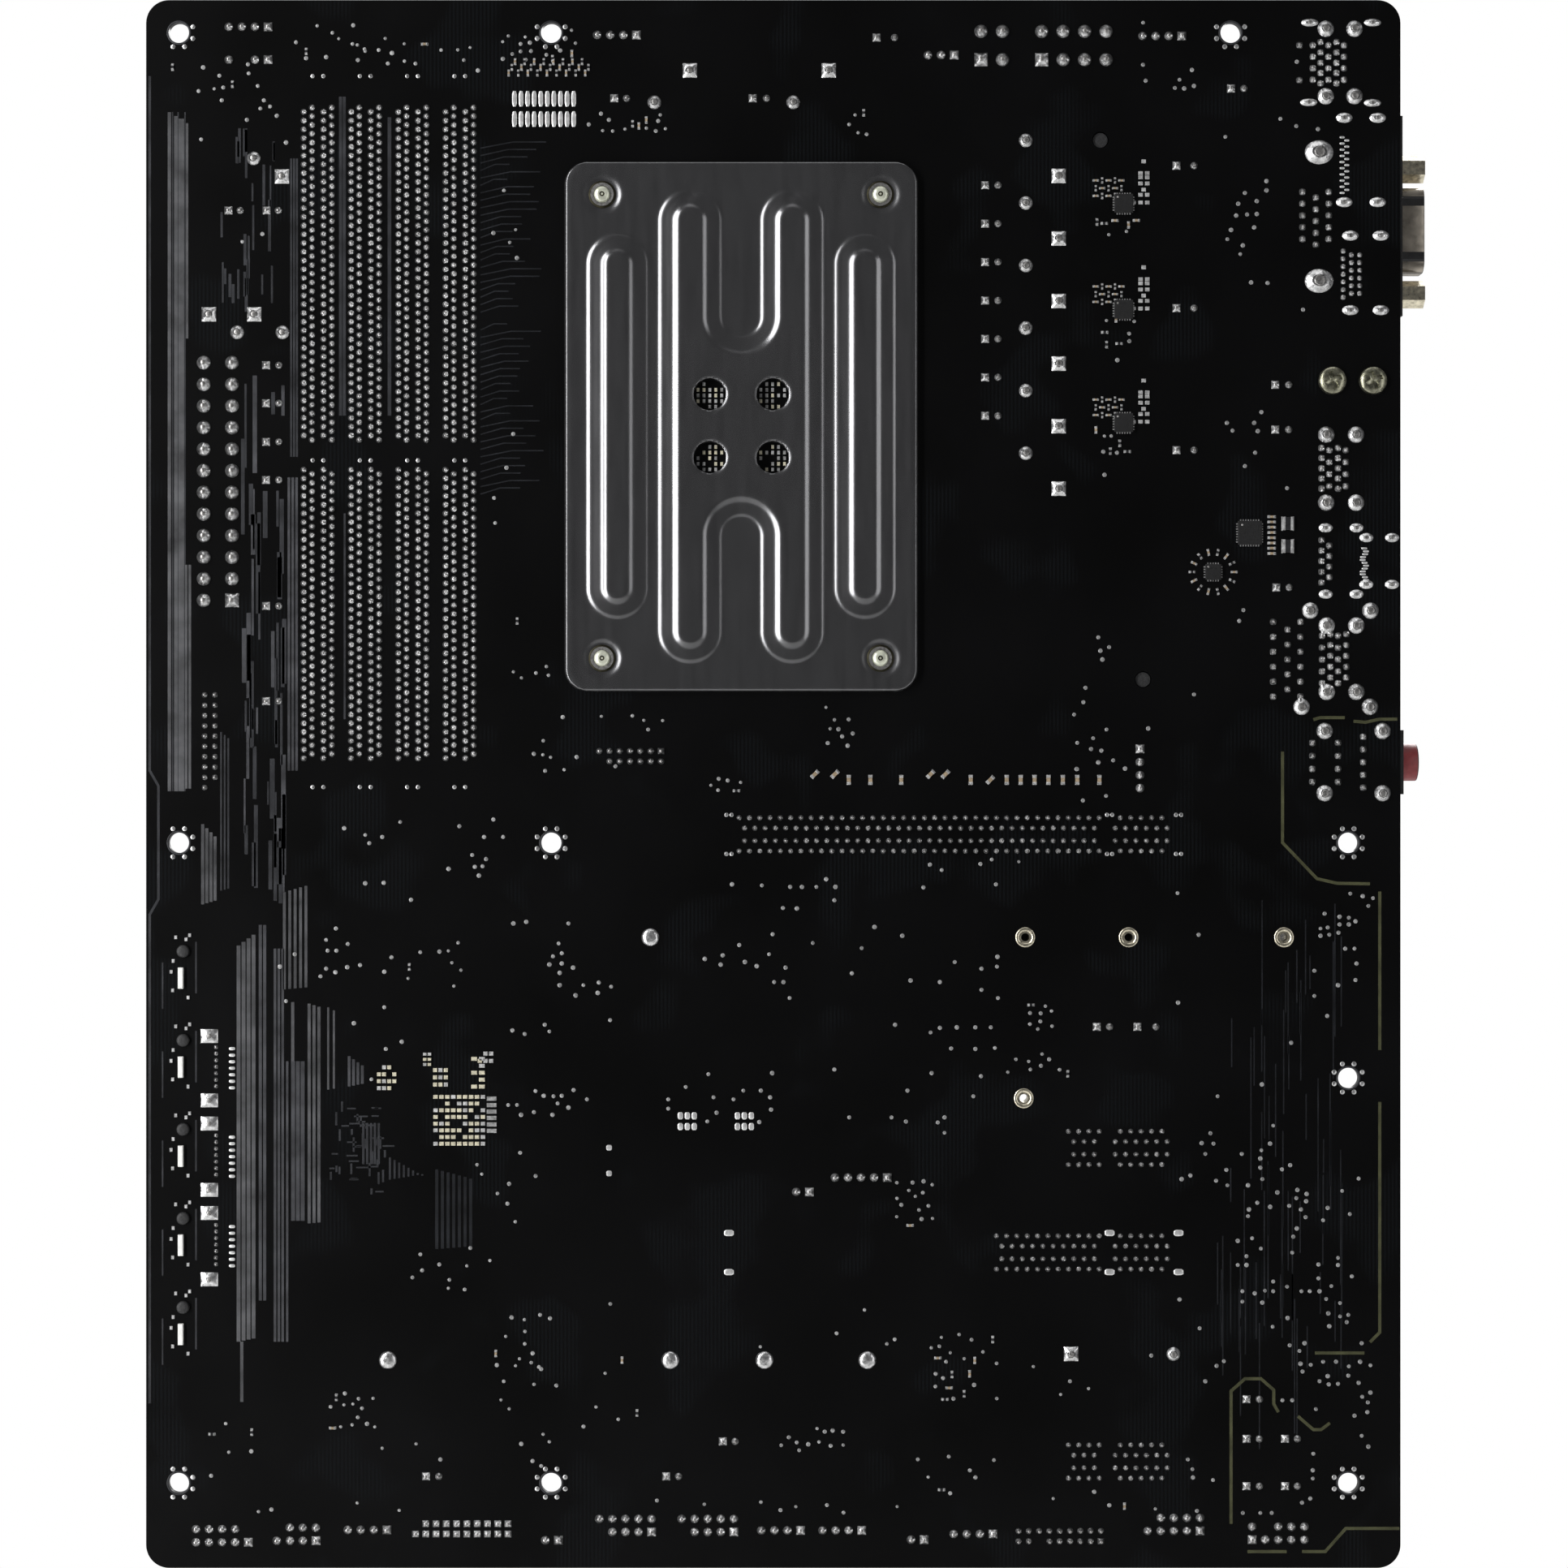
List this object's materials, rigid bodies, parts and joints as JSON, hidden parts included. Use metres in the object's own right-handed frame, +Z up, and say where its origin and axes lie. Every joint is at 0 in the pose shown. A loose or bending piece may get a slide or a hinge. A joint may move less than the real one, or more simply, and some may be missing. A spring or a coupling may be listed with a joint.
{
  "type": "computer motherboard",
  "caption": "Full-size desktop motherboard with a ribbed processor backplate, memory and expansion slots, rear ports, turning latches and a processor socket lever",
  "frame": {"origin": "centre of the lower rectangle of four mounting holes, on the solder-side face of the board", "axes": "+Z up along the board's long side, +X along its short side towards the rear ports, +Y out of the component side; the solder side faces -Y"},
  "size_m": [0.2517, 0.0384, 0.3048],
  "materials": {
    "solder_mask": "black solder mask on glass-epoxy",
    "backplate_steel": "dark satin coated steel",
    "insulator_film": "black film",
    "plated_brass": "nickel and brass plated",
    "solder": "bright reflowed tin",
    "ceramic_passive": "fired ceramic with tinned ends",
    "chip_epoxy": "moulded epoxy",
    "led_lens": "milky lens",
    "socket_plastic": "ivory high-temperature plastic",
    "bright_steel": "bright drawn steel",
    "black_plastic": "black moulded plastic",
    "grey_plastic": "grey moulded plastic",
    "anodised_aluminium": "black anodised, cut fins",
    "plated_shell": "nickel-plated shell",
    "gold_pin": "gold flash",
    "choke_body": "pressed powder",
    "capacitor_can": "coated can"
  },
  "bodies": {
    "board": {"pcb": "solder_mask", "cpu_backplate": "backplate_steel", "backplate_insulator": "insulator_film", "backplate_posts": "plated_brass", "solder_joints": "solder", "back_passives": "ceramic_passive", "back_chips": "chip_epoxy", "edge_leds": "led_lens", "cpu_socket": "socket_plastic", "cooler_bracket_upper": "black_plastic", "cooler_bracket_lower": "black_plastic", "cooler_screws": "plated_brass", "dimm_slot_1": "black_plastic", "dimm_slot_2": "grey_plastic", "dimm_slot_3": "black_plastic", "dimm_slot_4": "grey_plastic", "pcie_slot_1": "black_plastic", "pcie_slot_2": "black_plastic", "pcie_slot_3": "black_plastic", "pcie_slot_4": "black_plastic", "m2_sockets": "black_plastic", "wifi_socket": "black_plastic", "m2_standoffs": "plated_brass", "m2_heatsink_upper": "anodised_aluminium", "m2_heatsink_lower": "anodised_aluminium", "m2_heatsink_screws": "bright_steel", "atx_power_header": "black_plastic", "eps_power_headers": "black_plastic", "power_pins": "gold_pin", "vrm_heatsink": "anodised_aluminium", "vrm_heatsink_screws": "bright_steel", "chokes": "choke_body", "capacitors": "capacitor_can", "mosfets": "chip_epoxy", "chipset": "chip_epoxy", "chipset_heatsink": "anodised_aluminium", "battery_holder": "black_plastic", "io_ps2_usb": "plated_shell", "io_video": "black_plastic", "module_bracket": "plated_shell", "module_bracket_screws": "plated_brass", "io_usb": "plated_shell", "io_usb_c": "plated_shell", "io_lan_usb": "plated_shell", "io_audio": "black_plastic", "vga_jackscrews": "plated_brass", "sata_ports": "black_plastic", "usb3_headers": "black_plastic", "header_bases": "black_plastic", "header_pins": "gold_pin", "front_chips": "chip_epoxy"},
    "lever": {"socket_lever": "bright_steel"},
    "cover": {"socket_cover": "socket_plastic"},
    "battery": {"cmos_battery": "bright_steel"},
    "dimm_latch_1": {"dimm_latch_1": "black_plastic"},
    "dimm_latch_2": {"dimm_latch_2": "black_plastic"},
    "dimm_latch_3": {"dimm_latch_3": "black_plastic"},
    "dimm_latch_4": {"dimm_latch_4": "black_plastic"},
    "pcie_latch_1": {"pcie_latch_1": "black_plastic"},
    "pcie_latch_3": {"pcie_latch_3": "black_plastic"}
  },
  "joints": [
    {"name": "lever_turn", "type": "hinge", "parent": "board", "child": "lever", "pos_m": [-0.00432, 0.0048, 0.16906], "axis": [1, 0, 0], "range_deg": [0, 90]},
    {"name": "cover_slide", "type": "slide", "parent": "board", "child": "cover", "axis": [0, 0, 1], "range_m": [0, 0.0012]},
    {"name": "dimm_latch_1_turn", "type": "hinge", "parent": "board", "child": "dimm_latch_1", "pos_m": [-0.08662, 0.0046, 0.21056], "axis": [1, 0, 0], "range_deg": [0, 28]},
    {"name": "dimm_latch_2_turn", "type": "hinge", "parent": "board", "child": "dimm_latch_2", "pos_m": [-0.07744, 0.0046, 0.21056], "axis": [1, 0, 0], "range_deg": [0, 28]},
    {"name": "dimm_latch_3_turn", "type": "hinge", "parent": "board", "child": "dimm_latch_3", "pos_m": [-0.06825, 0.0046, 0.21056], "axis": [1, 0, 0], "range_deg": [0, 28]},
    {"name": "dimm_latch_4_turn", "type": "hinge", "parent": "board", "child": "dimm_latch_4", "pos_m": [-0.05906, 0.0046, 0.21056], "axis": [1, 0, 0], "range_deg": [0, 28]},
    {"name": "pcie_latch_1_turn", "type": "hinge", "parent": "board", "child": "pcie_latch_1", "pos_m": [-0.01141, 0.0048, 0.06386], "axis": [0, 0, 1], "range_deg": [0, 25]},
    {"name": "pcie_latch_3_turn", "type": "hinge", "parent": "board", "child": "pcie_latch_3", "pos_m": [-0.01141, 0.0048, -0.01742], "axis": [0, 0, 1], "range_deg": [0, 25]},
    {"name": "battery_lift", "type": "slide", "parent": "board", "child": "battery", "axis": [0, 1, 0], "range_m": [0, 0.015]}
  ],
  "couplings": [
    {"joint": "cover_slide", "follows": "lever_turn", "m_per_rad": 0.00076}
  ]
}
